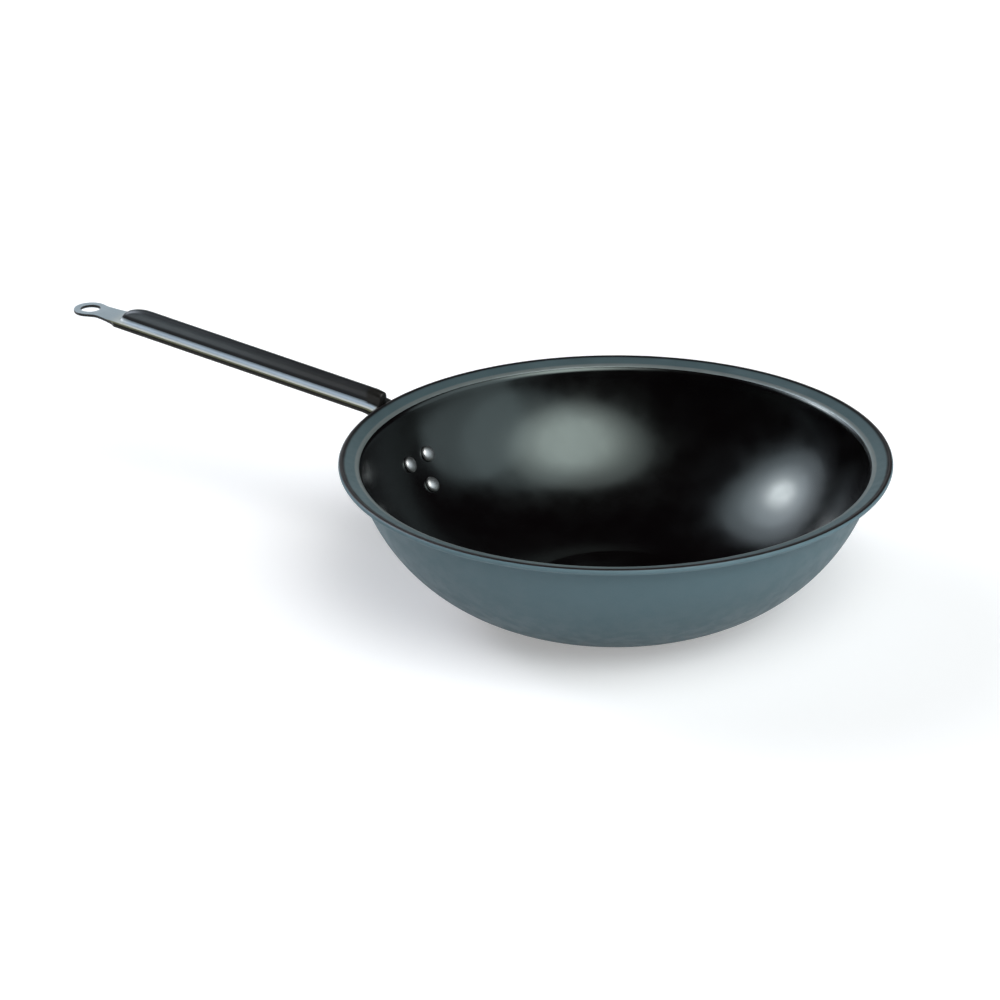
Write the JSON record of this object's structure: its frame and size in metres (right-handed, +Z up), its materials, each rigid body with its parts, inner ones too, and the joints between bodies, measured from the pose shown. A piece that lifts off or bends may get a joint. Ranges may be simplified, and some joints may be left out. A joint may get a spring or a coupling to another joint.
{
  "type": "non-stick wok",
  "caption": "Deep round-sided wok with a flat base, a flared lip, a non-stick inside and a long stamped steel handle riveted to its wall.",
  "frame": {"origin": "centre of the flat base's underside", "axes": "+Z up out of the bowl's mouth, the handle towards -X, mirror plane XZ"},
  "size_m": [0.5513, 0.32, 0.1169],
  "materials": {
    "bowl": "dark blue-grey satin outside and on the lip, with a glossy black non-stick coat inside",
    "handle": "smooth bright plated strip steel",
    "rivets": "plain bright metal with a soft sheen"
  },
  "bodies": {
    "root": {"bowl": "bowl", "handle": "handle", "rivet_upper_left": "rivets", "rivet_upper_right": "rivets", "rivet_lower": "rivets"}
  },
  "joints": []
}
